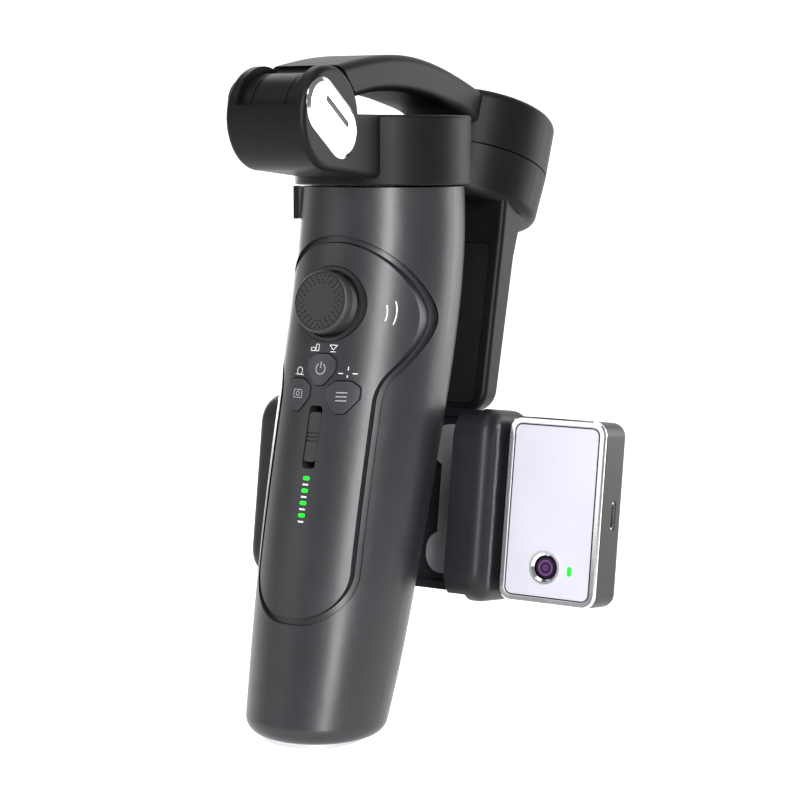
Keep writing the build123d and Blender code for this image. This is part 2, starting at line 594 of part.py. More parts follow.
# ---------------------------------------------------------------- pan head with the hinge fork
collar_plane = pan_plane.offset(COLLAR_GAP)
HEAD_Z0 = GRIP_H + COLLAR_GAP
HEAD_Z1 = HEAD_Z0 + COLLAR_H
with BuildPart() as pan_head:
    with BuildSketch(Plane.YZ) as fork_side:
        with Locations((HINGE_Y, HINGE_Z)):
            Circle(FORK_R)
        with BuildLine():
            Polyline((HINGE_Y, HINGE_Z - FORK_R), (PAN_Y - 18, HEAD_Z0 + 1.6), (PAN_Y, HEAD_Z0 + 1.6),
                     (PAN_Y, HEAD_Z1), (HINGE_Y + 4, HEAD_Z1), (HINGE_Y, HINGE_Z), close=True)
        make_face()
    extrude(amount=FORK_HALF, both=True)
    rim = pan_head.edges().filter_by(Axis.X, reverse=True).filter_by(
        lambda e: abs(abs(e.center().X) - FORK_HALF) < 0.01 and e.center().Y < PAN_Y - 19)
    fillet(rim, 1.6)
    with BuildSketch(collar_plane) as collar_round:
        Circle(COLLAR_R)
    extrude(amount=COLLAR_H)
    top_rim = pan_head.edges().filter_by(GeomType.CIRCLE).filter_by(
        lambda e: abs(e.radius - COLLAR_R) < 0.01)
    fillet(top_rim.group_by(Axis.Z)[-1], 0.9)
    fillet(top_rim.group_by(Axis.Z)[0], 0.5)
    # Pocket for the knuckle, open at the top and towards the back.
    with BuildSketch(Plane.YZ) as pocket:
        with Locations((HINGE_Y, HINGE_Z)):
            Circle(KNUCKLE_R + RUN_CLEAR)
        with BuildLine():
            Polyline((HINGE_Y - 11.5, HINGE_Z + LIP_RISE), (HINGE_Y + 11.0, HINGE_Z + 4.2),
                     (PAN_Y - 20, HEAD_Z1 + 0.01), (PAN_Y - 20, HEAD_Z1 + 16),
                     (HINGE_Y - 20, HEAD_Z1 + 16), (HINGE_Y - 20, HINGE_Z + LIP_RISE), close=True)
        make_face()
    extrude(amount=SLOT_HALF, both=True, mode=Mode.SUBTRACT)
    # Bore for the hinge pin, and seats for the two badges.
    with BuildSketch(Plane.YZ) as pin_bore:
        with Locations((HINGE_Y, HINGE_Z)):
            Circle(PIN_R)
    extrude(amount=FORK_HALF + 1, both=True, mode=Mode.SUBTRACT)
    for side in (-1, 1):
        with BuildSketch(Plane.YZ.offset(side * (FORK_HALF + 1))) as badge_seat:
            with Locations((HINGE_Y, HINGE_Z)):
                SlotCenterToCenter(BADGE_SPAN, 2 * BADGE_R, rotation=BADGE_LEAN)
        extrude(amount=side * (-BADGE_T - 1), mode=Mode.SUBTRACT)
    # Hollow of the collar, for the rotor's hub.
    with BuildSketch(collar_plane) as hub_bore:
        Circle(PAN_SHAFT_R)
    extrude(amount=2.0, mode=Mode.SUBTRACT)
save(pan_head.part, "pan_head")

for side, name in ((1, "hinge_badge"), (-1, "hinge_cap")):
    with BuildPart() as badge:
        with BuildSketch(Plane.YZ.offset(side * (FORK_HALF - BADGE_T))) as badge_face:
            with Locations((HINGE_Y, HINGE_Z)):
                SlotCenterToCenter(BADGE_SPAN, 2 * BADGE_R - 0.2, rotation=BADGE_LEAN)
        extrude(amount=side * (BADGE_T + 0.6))
        chamfer(badge.faces().sort_by(Axis.X)[-1 if side > 0 else 0].edges(), 0.5, BADGE_BEVEL)
        with BuildSketch(Plane.YZ.offset(side * (FORK_HALF + 0.6))) as badge_slot:
            with Locations((HINGE_Y + BADGE_SLOT_Y, HINGE_Z + BADGE_SLOT_Y)):
                SlotOverall(BADGE_SLOT_L, BADGE_SLOT_W, rotation=BADGE_LEAN)
        extrude(amount=-side * BADGE_SLOT_D, mode=Mode.SUBTRACT)
    save(badge.part, name)

with BuildPart() as hinge_pin:
    with BuildSketch(Plane.YZ.offset(-FORK_HALF + BADGE_T)) as pin_round:
        with Locations((HINGE_Y, HINGE_Z)):
            Circle(PIN_R - BORE_CLEAR / 2)
    extrude(amount=2 * (FORK_HALF - BADGE_T))
save(hinge_pin.part, "hinge_pin")

# ---------------------------------------------------------------- arch arm
roll_plane = tilted(ROLL_Y, ROLL_Z, ROLL_TILT)
ROOF = SEAM_GAP / 2 + STATOR_H - MOTOR_WALL
with BuildPart(mode=Mode.PRIVATE) as stator_housing:
    with BuildSketch(roll_plane.offset(SEAM_GAP / 2)) as housing_round:
        Circle(MOTOR_R)
    extrude(amount=STATOR_H)
    fillet(stator_housing.edges().sort_by(Axis.Z)[-1], HOUSING_ROUND)

with BuildPart() as arch_arm:
    with BuildSketch(Plane.YZ) as arch_side:
        with BuildLine():
            outer = Spline((PAN_Y - 36.4, GRIP_H + 30.2), (PAN_Y - 27.0, GRIP_H + 31.9),
                           (PAN_Y - 3.1, GRIP_H + 33.6), (PAN_Y + 17.5, GRIP_H + 30.5),
                           (PAN_Y + 38.0, GRIP_H + 24.4), (PAN_Y + 52.0, GRIP_H + 19.4))
            inner = Spline((PAN_Y - 29.4, GRIP_H + 22.4), (PAN_Y - 18.8, GRIP_H + 24.0),
                           (PAN_Y - 6.6, GRIP_H + 24.3), (PAN_Y + 6.7, GRIP_H + 23.1),
                           (PAN_Y + 16.8, GRIP_H + 21.3), (PAN_Y + 27.2, GRIP_H + 18.6),
                           (PAN_Y + 34.0, GRIP_H + 14.0))
            Line(outer @ 0, inner @ 0)
            Polyline(outer @ 1, (PAN_Y + 48.0, GRIP_H + 8.0), inner @ 1)
        make_face()
    extrude(amount=ARCH_HALF, both=True)
    long_edges = arch_arm.edges().filter_by(
        lambda e: abs(abs(e.center().X) - ARCH_HALF) < 0.01 and e.length > 20)
    fillet(long_edges, 2.2)
    # Knuckle that turns on the pin, and the neck that carries the arch.
    with BuildSketch(Plane.YZ) as knuckle_side:
        with Locations((HINGE_Y, HINGE_Z)):
            Circle(KNUCKLE_R)
        with BuildLine():
            Polyline((HINGE_Y + 2.0, HINGE_Z + 10.0), (PAN_Y - 35.0, GRIP_H + 30.0),
                     (PAN_Y - 28.0, GRIP_H + 23.4), (HINGE_Y + 9.4, HINGE_Z + 4.6), close=True)
        make_face()
    extrude(amount=SLOT_HALF - RUN_CLEAR, both=True)
    with BuildSketch(Plane.YZ) as knuckle_bore:
        with Locations((HINGE_Y, HINGE_Z)):
            Circle(PIN_R + BORE_CLEAR)
    extrude(amount=FORK_HALF, both=True, mode=Mode.SUBTRACT)
    # Fine rings that divide the knuckle.
    for x in (-KNUCKLE_RING_X, KNUCKLE_RING_X):
        with BuildSketch(Plane.YZ.offset(x - 0.15)) as knuckle_ring:
            with Locations((HINGE_Y, HINGE_Z)):
                Circle(KNUCKLE_R + 0.1)
                Circle(KNUCKLE_R - 0.35, mode=Mode.SUBTRACT)
        extrude(amount=0.3, mode=Mode.SUBTRACT)
    # Motor housing at the far end, open underneath, with the bearing's boss under its roof.
    add(stator_housing.part)
    with BuildSketch(roll_plane.offset(SEAM_GAP / 2)) as housing_hollow:
        Circle(MOTOR_R - MOTOR_WALL)
    extrude(amount=STATOR_H - MOTOR_WALL, mode=Mode.SUBTRACT)
    with BuildSketch(roll_plane.offset(ROLL_BEARING_Z)) as bearing_boss:
        Circle(ROLL_BEARING_R + 1.6)
        Circle(ROLL_BEARING_R, mode=Mode.SUBTRACT)
    extrude(amount=ROOF - ROLL_BEARING_Z)
save(arch_arm.part, "arch_arm")

with BuildPart() as roll_bearing:
    with BuildSketch(roll_plane.offset(ROLL_BEARING_Z)) as roll_race:
        Circle(ROLL_BEARING_R)
        Circle(ROLL_SHAFT_R + BORE_CLEAR, mode=Mode.SUBTRACT)
    extrude(amount=ROLL_BEARING_T)
save(roll_bearing.part, "roll_bearing")

COIL_BACK, TOOTH_L, TOOTH_COUNT = 2.2, 2.9, 12
coil_root = MOTOR_R - MOTOR_WALL - COIL_BACK
tooth_in = coil_root - TOOTH_L
with BuildPart() as roll_stator:
    with BuildSketch(roll_plane.offset(3.0)) as roll_coils:
        Circle(MOTOR_R - MOTOR_WALL)
        Circle(coil_root, mode=Mode.SUBTRACT)
        with PolarLocations((coil_root + tooth_in) / 2 + 0.2, TOOTH_COUNT):
            Rectangle(TOOTH_L + 0.6, 3.4)
    extrude(amount=8.0)
save(roll_stator.part, "roll_stator")

# ---------------------------------------------------------------- second arm with the lower housing
rotor_low = -SEAM_GAP / 2 - ROTOR_H
cup_floor = rotor_low + ROTOR_FLOOR
with BuildPart(mode=Mode.PRIVATE) as rotor_cup:
    with BuildSketch(roll_plane.offset(-SEAM_GAP / 2)) as cup_mouth:
        Circle(MOTOR_R)
    with BuildSketch(roll_plane.offset(rotor_low)) as cup_base:
        Circle(MOTOR_R - ROTOR_H * tan(radians(ROTOR_DRAFT)))
    loft()
    fillet(rotor_cup.edges().sort_by(Axis.Z)[0], ROTOR_ROUND)
    with BuildSketch(roll_plane.offset(-SEAM_GAP / 2)) as cup_hollow:
        Circle(MOTOR_R - 2 * MOTOR_WALL)
    extrude(amount=-ROTOR_H + ROTOR_FLOOR, mode=Mode.SUBTRACT)

arm_slope = (ARM_FRONT_TOP - ARM_FRONT_LOW) / (ARM_TOP_Z - ARM_LOW_Z)
root_front = roll_plane.offset(rotor_low + ROTOR_FLOOR / 2).from_local_coords((0, -10.0, 0))
root_back = roll_plane.offset(rotor_low + ROTOR_FLOOR / 2).from_local_coords((0, 1.0, 0))
arm_face = Plane((0, ARM_FRONT_LOW, ARM_LOW_Z), x_dir=(1, 0, 0), z_dir=(0, -1, arm_slope))
COVER_EDGE, COVER_T, COVER_FOOT = 3.4, 1.2, 3.0
COVER_L = 44.0
NECK_HALF = 10.0
with BuildPart() as roll_arm:
    with BuildSketch(Plane.YZ) as arm_side:
        with BuildLine():
            Polyline((root_front.Y, root_front.Z), (ARM_FRONT_TOP, ARM_TOP_Z),
                     (ARM_FRONT_LOW, ARM_LOW_Z), (ARM_FRONT_LOW + ARM_T_LOW, ARM_LOW_Z),
                     (ARM_FRONT_TOP + ARM_T_TOP, ARM_TOP_Z), (root_back.Y, root_back.Z), close=True)
        make_face()
    extrude(amount=ARM_HALF, both=True)
    arm_feet = roll_arm.edges().filter_by(
        lambda e: abs(abs(e.center().X) - ARM_HALF) < 0.01 and e.center().Z < ARM_LOW_Z + 1)
    fillet(arm_feet, 6.0)
    long_front = roll_arm.edges().filter_by(
        lambda e: abs(abs(e.center().X) - ARM_HALF) < 0.01 and e.length > 20)
    fillet(long_front, 1.6)
    # Neck and barrel of the tilt motor.
    with BuildSketch(Plane.YZ) as neck_side:
        with BuildLine():
            Polyline((ARM_FRONT_LOW + 6 * arm_slope, ARM_LOW_Z + 6), (ARM_FRONT_LOW, ARM_LOW_Z),
                     (TILT_Y - TILT_R, TILT_Z), (TILT_Y + 2, TILT_Z),
                     (ARM_FRONT_LOW + ARM_T_LOW + 1.2, ARM_LOW_Z + 6), close=True)
        make_face()
    extrude(amount=NECK_HALF, both=True)
    with BuildSketch(Plane.YZ.offset(-TILT_HALF)) as tilt_round:
        with Locations((TILT_Y, TILT_Z)):
            Circle(TILT_R)
    extrude(amount=2 * TILT_HALF)
    with BuildSketch(Plane.YZ.offset(-TILT_HALF)) as tilt_hollow:
        with Locations((TILT_Y, TILT_Z)):
            Circle(TILT_R - MOTOR_WALL)
    extrude(amount=2 * TILT_HALF - TILT_END_T, mode=Mode.SUBTRACT)
    with BuildSketch(Plane.YZ) as tilt_bearing_bore:
        with Locations((TILT_Y, TILT_Z)):
            Circle(TILT_BEARING_R)
    extrude(amount=TILT_HALF + 1, mode=Mode.SUBTRACT)
    # Recess for the front cover.
    with BuildSketch(arm_face) as cover_recess:
        with Locations((0, COVER_FOOT + COVER_L / 2)):
            RectangleRounded(2 * (ARM_HALF - COVER_EDGE + PANEL_GAP), COVER_L + 2 * PANEL_GAP, 2.0)
    extrude(amount=-COVER_T, mode=Mode.SUBTRACT)
    add(rotor_cup.part)
save(roll_arm.part, "roll_arm")

with BuildPart() as arm_cover:
    with BuildSketch(arm_face.offset(-COVER_T)) as cover_outline:
        with Locations((0, COVER_FOOT + COVER_L / 2)):
            RectangleRounded(2 * (ARM_HALF - COVER_EDGE), COVER_L, 1.8)
    extrude(amount=COVER_T)
save(arm_cover.part, "arm_cover")

MAGNET_T, AIR_GAP = 2.0, 0.5
rotor_drum_r = tooth_in - AIR_GAP
with BuildPart() as roll_rotor:
    with BuildSketch(roll_plane.offset(cup_floor)) as rotor_disc:
        Circle(rotor_drum_r)
    extrude(amount=2.0)
    with BuildSketch(roll_plane.offset(cup_floor + 2.0)) as rotor_magnets:
        Circle(rotor_drum_r)
        Circle(rotor_drum_r - MAGNET_T, mode=Mode.SUBTRACT)
    extrude(amount=11.0 - cup_floor - 2.0)
    with BuildSketch(roll_plane.offset(cup_floor + 2.0)) as roll_shaft:
        Circle(ROLL_SHAFT_R)
    extrude(amount=ROLL_BEARING_Z + ROLL_BEARING_T - cup_floor - 2.0)
save(roll_rotor.part, "roll_rotor")

# ---------------------------------------------------------------- tilt motor
with BuildPart() as tilt_stator:
    with BuildSketch(Plane.YZ.offset(-TILT_HALF + TILT_END_T + 0.4)) as tilt_coils:
        with Locations((TILT_Y, TILT_Z)):
            Circle(TILT_R - MOTOR_WALL)
            Circle(TILT_R - MOTOR_WALL - 1.9, mode=Mode.SUBTRACT)
    extrude(amount=2 * (TILT_HALF - TILT_END_T - 0.4))
save(tilt_stator.part, "tilt_stator")

with BuildPart() as tilt_cover:
    with BuildSketch(Plane.YZ.offset(-TILT_HALF)) as tilt_cover_disc:
        with Locations((TILT_Y, TILT_Z)):
            Circle(TILT_R - MOTOR_WALL)
            Circle(TILT_BEARING_R, mode=Mode.SUBTRACT)
    extrude(amount=TILT_END_T)
save(tilt_cover.part, "tilt_cover")

with BuildPart() as tilt_bearings:
    for x in (-TILT_HALF, TILT_HALF - TILT_END_T):
        with BuildSketch(Plane.YZ.offset(x)) as tilt_race:
            with Locations((TILT_Y, TILT_Z)):
                Circle(TILT_BEARING_R)
                Circle(TILT_SHAFT_R + BORE_CLEAR, mode=Mode.SUBTRACT)
        extrude(amount=TILT_END_T)
save(tilt_bearings.part, "tilt_bearings")

with BuildPart() as tilt_rotor:
    with BuildSketch(Plane.YZ.offset(-TILT_HALF + TILT_END_T + 1.0)) as tilt_magnets:
        with Locations((TILT_Y, TILT_Z)):
            Circle(TILT_R - MOTOR_WALL - 1.9 - 0.5)
            Circle(TILT_SHAFT_R, mode=Mode.SUBTRACT)
    extrude(amount=2 * (TILT_HALF - TILT_END_T - 1.0))
save(tilt_rotor.part, "tilt_rotor")

ear_out = TILT_HALF + EAR_GAP + EAR_T
with BuildPart() as tilt_shaft:
    with BuildSketch(Plane.YZ.offset(-ear_out)) as shaft_round:
        with Locations((TILT_Y, TILT_Z)):
            Circle(TILT_SHAFT_R)
    extrude(amount=2 * ear_out)
save(tilt_shaft.part, "tilt_shaft")

# ---------------------------------------------------------------- phone clamp
clamp_cos = cos(radians(CLAMP_TILT))
clamp_sin = sin(radians(CLAMP_TILT))


def clamp_side(x):
    """Plane across the clamp at a sideways place: local X runs back, local Y runs up."""
    return Plane((x, CLAMP_Y, CLAMP_Z), x_dir=(0, clamp_cos, -clamp_sin), z_dir=(1, 0, 0))


def clamp_front(depth):
    """Plane parallel to the back plate at a depth: local Y runs up, the normal points forward."""
    return Plane((0, CLAMP_Y + depth * clamp_cos, CLAMP_Z - depth * clamp_sin),
                 x_dir=(1, 0, 0), z_dir=(0, -clamp_cos, clamp_sin))


tilt_back = (TILT_Y - CLAMP_Y) * clamp_cos - (TILT_Z - CLAMP_Z) * clamp_sin
tilt_up = (TILT_Y - CLAMP_Y) * clamp_sin + (TILT_Z - CLAMP_Z) * clamp_cos
plate_back = PLATE_FRONT + PLATE_T
rod_back = PLATE_FRONT + FIELD_D + (PLATE_T - FIELD_D) / 2


def jaw(side, outline_round):
    """One jaw of the clamp with the channel that takes the phone's edge: side is +1 or -1."""
    with BuildPart(mode=Mode.PRIVATE) as body:
        with BuildSketch(clamp_side(side * JAW_IN)) as jaw_side:
            with Locations((plate_back / 2, 0)):
                RectangleRounded(plate_back, CLAMP_H, JAW_ROUND)
        extrude(amount=side * (JAW_OUT - JAW_IN))
        outer_rim = body.faces().sort_by(Axis.X)[-1 if side > 0 else 0].edges()
        fillet(outer_rim, outline_round)
        with BuildSketch(clamp_side(side * JAW_IN)) as channel:
            with Locations(((LIP_T + PLATE_FRONT) / 2, 0)):
                Rectangle(PLATE_FRONT - LIP_T, CLAMP_H + 2)
        extrude(amount=side * CHANNEL_D, mode=Mode.SUBTRACT)
    return body.part


with BuildPart() as clamp_frame:
    plate_w = PLATE_LEFT + JAW_OUT - OUTER_ROUND
    with BuildSketch(clamp_front(PLATE_FRONT)) as back_plate:
        with Locations(((JAW_OUT - OUTER_ROUND - PLATE_LEFT) / 2, 0)):
            RectangleRounded(plate_w, CLAMP_H - 1.0, 6.0)
    extrude(amount=-PLATE_T)
    with BuildSketch(clamp_front(PLATE_FRONT)) as plate_field:
        with Locations(((JAW_IN - PLATE_LEFT + FIELD_EDGE) / 2, 0)):
            RectangleRounded(PLATE_LEFT + JAW_IN - FIELD_EDGE, CLAMP_H - 1.0 - 2 * FIELD_EDGE, 4.5)
    extrude(amount=-FIELD_D, mode=Mode.SUBTRACT)
    add(jaw(1, OUTER_ROUND))
    # Ears that carry the tilt shaft.
    for side in (-1, 1):
        with BuildSketch(clamp_side(side * (TILT_HALF + EAR_GAP))) as ear:
            with Locations((tilt_back, tilt_up)):
                Circle(EAR_R)
            with BuildLine():
                Polyline((plate_back - 1.0, tilt_up + EAR_R + 3), (tilt_back, tilt_up + EAR_R),
                         (tilt_back, tilt_up - EAR_R), (plate_back - 1.0, tilt_up - EAR_R - 3),
                         close=True)
            make_face()
        extrude(amount=side * EAR_T)
    # Tunnels for the moving jaw's rods, and the spring's room between them.
    with BuildSketch(clamp_side(-PLATE_LEFT - 1)) as rod_tunnels:
        with Locations((rod_back, -ROD_Z), (rod_back, ROD_Z)):
            Circle(ROD_R + BORE_CLEAR)
    extrude(amount=PLATE_LEFT + ROD_REACH + 3.0, mode=Mode.SUBTRACT)
    with BuildSketch(clamp_side(-PLATE_LEFT + 2)) as spring_room:
        with Locations((rod_back, 0)):
            Circle(SPRING_R + 0.1)
    extrude(amount=SPRING_L + 1.0, mode=Mode.SUBTRACT)
    with BuildSketch(Plane.YZ.offset(-ear_out - 1)) as shaft_seat:
        with Locations((TILT_Y, TILT_Z)):
            Circle(TILT_SHAFT_R)
    extrude(amount=2 * ear_out + 2, mode=Mode.SUBTRACT)
save(clamp_frame.part, "clamp_frame")

with BuildPart() as moving_jaw:
    add(jaw(-1, OUTER_ROUND))
    with BuildSketch(clamp_side(-JAW_IN + 1)) as rod_sockets:
        with Locations((rod_back, -ROD_Z), (rod_back, ROD_Z)):
            Circle(ROD_R)
    extrude(amount=-ROD_SOCKET - 1, mode=Mode.SUBTRACT)
save(moving_jaw.part, "moving_jaw")

with BuildPart() as jaw_rods:
    with BuildSketch(clamp_side(-JAW_IN - ROD_SOCKET)) as rod_ends:
        with Locations((rod_back, -ROD_Z), (rod_back, ROD_Z)):
            Circle(ROD_R)
    extrude(amount=JAW_IN + ROD_SOCKET + ROD_REACH)
save(jaw_rods.part, "jaw_rods")

with BuildPart() as jaw_spring:
    with BuildSketch(clamp_side(-PLATE_LEFT + 2)) as spring_ring:
        with Locations((rod_back, 0)):
            Circle(SPRING_R)
            Circle(SPRING_R - 0.5, mode=Mode.SUBTRACT)
    extrude(amount=SPRING_L)
save(jaw_spring.part, "jaw_spring")

for side, name in ((1, "fixed_jaw_pad"), (-1, "moving_jaw_pad")):
    with BuildPart() as jaw_pad:
        with BuildSketch(clamp_side(side * (JAW_IN + CHANNEL_D - PAD_T))) as pad_outline:
            with Locations(((LIP_T + PLATE_FRONT) / 2, 0)):
                RectangleRounded(PLATE_FRONT - LIP_T - 2.0, CLAMP_H - 12.0, 4.0)
        extrude(amount=side * PAD_T)
    save(jaw_pad.part, name)

# Grip pads on the back plate: two lobes joined by a narrower strip, one each side.
with BuildPart() as plate_pads:
    for side in (-1, 1):
        pad_end = JAW_IN if side > 0 else PLATE_LEFT - FIELD_EDGE
        with BuildSketch(clamp_front(PLATE_FRONT + FIELD_D)) as pad_lobes:
            for z in (-LOBE_Z, LOBE_Z):
                with Locations((side * (LOBE_X + pad_end) / 2, z)):
                    RectangleRounded(pad_end - LOBE_X, LOBE_H, 5.0)
            with Locations((side * (LOBE_X + 3.0 + pad_end) / 2, 0)):
                Rectangle(pad_end - LOBE_X - 3.0, 2 * LOBE_Z - 4.0)
        extrude(amount=PLATE_PAD_T)
save(plate_pads.part, "plate_pads")

# ---------------------------------------------------------------- tracking camera module
mod_x = MOD_X0 + MOD_W / 2
face_w = MOD_W - 2 * BEZEL_W
face_h = MOD_H - 2 * BEZEL_W
lens_x = MOD_X0 + BEZEL_W + LENS_X
lens_z = -face_h / 2 + LENS_Z
lamp_x = lens_x + 7.0
MAGNET_R, MAGNET_Z = 3.0, 12.0
PORT_SLOT_L, PORT_SLOT_W = 7.6, 2.6
mod_port_back = MOD_FRONT + MOD_D / 2 + 1.0

with BuildPart() as dock_plate:
    with BuildSketch(clamp_side(JAW_OUT)) as dock_outline:
        with Locations((MOD_FRONT + MOD_D / 2 + 0.4, 0)):
            RectangleRounded(MOD_D - 3.2, MOD_H - 8.0, 3.0)
    extrude(amount=MOD_X0 - JAW_OUT)
save(dock_plate.part, "dock_plate")

with BuildPart() as module_housing:
    with BuildSketch(clamp_front(MOD_FRONT + BEZEL_T)) as module_outline:
        with Locations((mod_x, 0)):
            RectangleRounded(MOD_W, MOD_H, MOD_ROUND)
    extrude(amount=-MOD_D + BEZEL_T)
    back_rim = module_housing.faces().sort_by(Axis.Y)[-1].edges()
    fillet(back_rim, 2.6)
    with BuildSketch(clamp_front(MOD_FRONT + BEZEL_T)) as module_hollow:
        with Locations((mod_x, 0)):
            RectangleRounded(MOD_W - 2 * MOD_WALL, MOD_H - 2 * MOD_WALL, MOD_ROUND - MOD_WALL)
    extrude(amount=-MOD_D + BEZEL_T + MOD_WALL, mode=Mode.SUBTRACT)
    with BuildSketch(clamp_side(MOD_X0 - 1)) as magnet_holes:
        with Locations((MOD_FRONT + MOD_D / 2 + 0.4, -MAGNET_Z), (MOD_FRONT + MOD_D / 2 + 0.4, MAGNET_Z)):
            Circle(MAGNET_R)
    extrude(amount=MOD_WALL + 1, mode=Mode.SUBTRACT)
    with BuildSketch(clamp_side(MOD_X0 + MOD_W + 1)) as module_port_hole:
        with Locations((mod_port_back, 0)):
            SlotOverall(PORT_SLOT_L, PORT_SLOT_W, rotation=90)
    extrude(amount=-MOD_WALL - 1, mode=Mode.SUBTRACT)
save(module_housing.part, "module_housing")

with BuildPart() as module_magnets:
    with BuildSketch(clamp_side(MOD_X0)) as magnet_discs:
        with Locations((MOD_FRONT + MOD_D / 2 + 0.4, -MAGNET_Z), (MOD_FRONT + MOD_D / 2 + 0.4, MAGNET_Z)):
            Circle(MAGNET_R)
    extrude(amount=MOD_WALL)
save(module_magnets.part, "module_magnets")

with BuildPart() as module_port:
    with BuildSketch(clamp_side(MOD_X0 + MOD_W - 0.3)) as module_port_ring:
        with Locations((mod_port_back, 0)):
            SlotOverall(PORT_SLOT_L, PORT_SLOT_W, rotation=90)
            SlotOverall(PORT_SLOT_L - 1.4, PORT_SLOT_W - 1.2, rotation=90, mode=Mode.SUBTRACT)
    extrude(amount=-MOD_WALL - 2.0)
save(module_port.part, "module_port")

with BuildPart() as module_bezel:
    with BuildSketch(clamp_front(MOD_FRONT)) as bezel_outline:
        with Locations((mod_x, 0)):
            RectangleRounded(MOD_W, MOD_H, MOD_ROUND)
            RectangleRounded(face_w, face_h, MOD_ROUND - BEZEL_W, mode=Mode.SUBTRACT)
    extrude(amount=-BEZEL_T)
    bezel_front = module_bezel.faces().sort_by(Axis.Y)[0].edges()
    chamfer(bezel_front, 0.4)
save(module_bezel.part, "module_bezel")

with BuildPart() as module_face:
    with BuildSketch(clamp_front(MOD_FRONT + 0.3)) as face_outline:
        with Locations((mod_x, 0)):
            RectangleRounded(face_w, face_h, MOD_ROUND - BEZEL_W)
        with Locations((lens_x, lens_z)):
            Circle(LENS_RING_R, mode=Mode.SUBTRACT)
        with Locations((lamp_x, lens_z - 0.4)):
            SlotOverall(MOD_LAMP_H, MOD_LAMP_W, rotation=90, mode=Mode.SUBTRACT)
    extrude(amount=-FACE_T)
save(module_face.part, "module_face")

with BuildPart() as lens_ring:
    with BuildSketch(clamp_front(MOD_FRONT)) as ring_outline:
        with Locations((lens_x, lens_z)):
            Circle(LENS_RING_R)
            Circle(LENS_R, mode=Mode.SUBTRACT)
    extrude(amount=-2.4)
    ring_inner = lens_ring.faces().sort_by(Axis.Y)[0].edges().sort_by(SortBy.LENGTH)[0]
    chamfer(ring_inner, 0.6)
save(lens_ring.part, "lens_ring")

with BuildPart() as lens_glass:
    with BuildSketch(clamp_front(MOD_FRONT + 2.4)) as glass_base:
        with Locations((lens_x, lens_z)):
            Circle(LENS_R)
    extrude(amount=1.6, taper=18)
save(lens_glass.part, "lens_glass")

with BuildPart() as camera_sensor:
    with BuildSketch(clamp_front(MOD_FRONT + 2.4)) as sensor_block:
        with Locations((lens_x, lens_z)):
            RectangleRounded(8.5, 8.5, 1.0)
    extrude(amount=-2.6)
save(camera_sensor.part, "camera_sensor")

with BuildPart() as module_lamp:
    with BuildSketch(clamp_front(MOD_FRONT + 0.2)) as module_lamp_face:
        with Locations((lamp_x, lens_z - 0.4)):
            SlotOverall(MOD_LAMP_H, MOD_LAMP_W, rotation=90)
    extrude(amount=-FACE_T)
save(module_lamp.part, "module_lamp")

with BuildPart() as module_board:
    with BuildSketch(clamp_front(MOD_FRONT + 5.0)) as module_board_outline:
        with Locations((mod_x, 0)):
            RectangleRounded(MOD_W - 2 * MOD_WALL - 2.6, MOD_H - 2 * MOD_WALL - 1.0, 1.2)
    extrude(amount=-1.0)
save(module_board.part, "module_board")

# ---------------------------------------------------------------- latch under the fork
latch_turn = radians(LATCH_TURN)
with BuildPart() as fold_latch:
    with BuildSketch(Plane.XY.offset(GRIP_H - LATCH_L)) as latch_ring:
        with Locations((0, PAN_Y)):
            Circle(R_TOP + LATCH_GAP + LATCH_T)
            Circle(R_TOP + LATCH_GAP, mode=Mode.SUBTRACT)
        with Locations((R_TOP * sin(latch_turn), PAN_Y - R_TOP * cos(latch_turn))):
            Rectangle(LATCH_W, 4 * LATCH_T, rotation=LATCH_TURN, mode=Mode.INTERSECT)
    extrude(amount=LATCH_L)
save(fold_latch.part, "fold_latch")
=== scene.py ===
"""Looks of the folded camera gimbal: materials, small printed marks, light and camera.

Metres, in the frame's own axes: +Z up, -Y is the joystick side, +X the camera module's side.
"""
import json
import math

import bmesh
import bpy
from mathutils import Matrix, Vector
from mathutils.bvhtree import BVHTree


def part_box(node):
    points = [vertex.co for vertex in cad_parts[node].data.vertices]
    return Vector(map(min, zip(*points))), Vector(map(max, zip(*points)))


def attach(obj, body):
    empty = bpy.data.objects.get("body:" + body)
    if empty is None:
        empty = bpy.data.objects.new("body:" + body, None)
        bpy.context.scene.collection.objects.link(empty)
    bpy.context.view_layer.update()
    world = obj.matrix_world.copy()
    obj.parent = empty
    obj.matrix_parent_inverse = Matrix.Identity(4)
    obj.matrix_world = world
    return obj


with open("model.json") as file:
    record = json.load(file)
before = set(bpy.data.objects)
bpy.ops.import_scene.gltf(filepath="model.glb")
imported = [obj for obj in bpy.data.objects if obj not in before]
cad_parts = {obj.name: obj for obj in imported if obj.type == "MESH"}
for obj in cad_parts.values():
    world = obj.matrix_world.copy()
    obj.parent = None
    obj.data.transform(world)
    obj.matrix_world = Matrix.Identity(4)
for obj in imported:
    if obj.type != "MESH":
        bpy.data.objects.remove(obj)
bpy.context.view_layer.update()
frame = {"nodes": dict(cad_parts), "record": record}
NODES = frame["nodes"]
MM = 0.001


# ---------------------------------------------------------------- material helpers
def new_material(name):
    """A node material and its Principled shader."""
    material = bpy.data.materials.new(name)
    material.use_nodes = True
    shader = material.node_tree.nodes["Principled BSDF"]
    return material, shader


def add_node(material, kind, **values):
    """A node of a kind, with its input sockets set by name."""
    made = material.node_tree.nodes.new(kind)
    for key, value in values.items():
        made.inputs[key.replace("_", " ")].default_value = value
    return made


def link(material, source, target):
    """Joins two sockets of a material."""
    material.node_tree.links.new(source, target)


